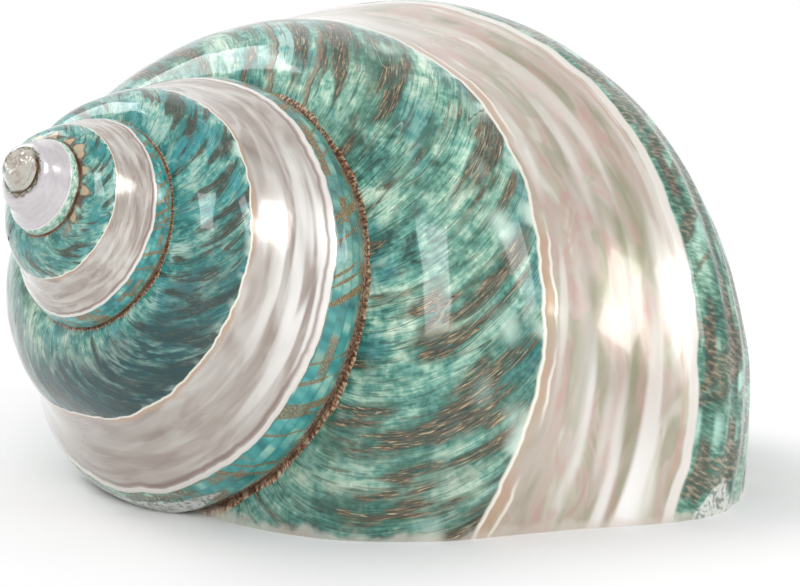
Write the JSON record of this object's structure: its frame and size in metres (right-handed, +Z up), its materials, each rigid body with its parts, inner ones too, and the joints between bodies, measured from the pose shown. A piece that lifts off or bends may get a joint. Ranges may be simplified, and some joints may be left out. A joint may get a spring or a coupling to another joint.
{
  "type": "turban shell",
  "caption": "Polished, banded turban sea shell: a hollow coiled shell lying on its flat aperture lip.",
  "frame": {"origin": "middle of the bounding box, on the surface that the shell lies on", "axes": "+Z up; the shell lies on its aperture with its apex towards -X and -Y, and its outer lip towards +X"},
  "size_m": [0.0648, 0.0526, 0.0421],
  "materials": {
    "shell": "polished, green and brown with silver nacre bands"
  },
  "bodies": {
    "root": {"shell": "shell"}
  },
  "joints": []
}
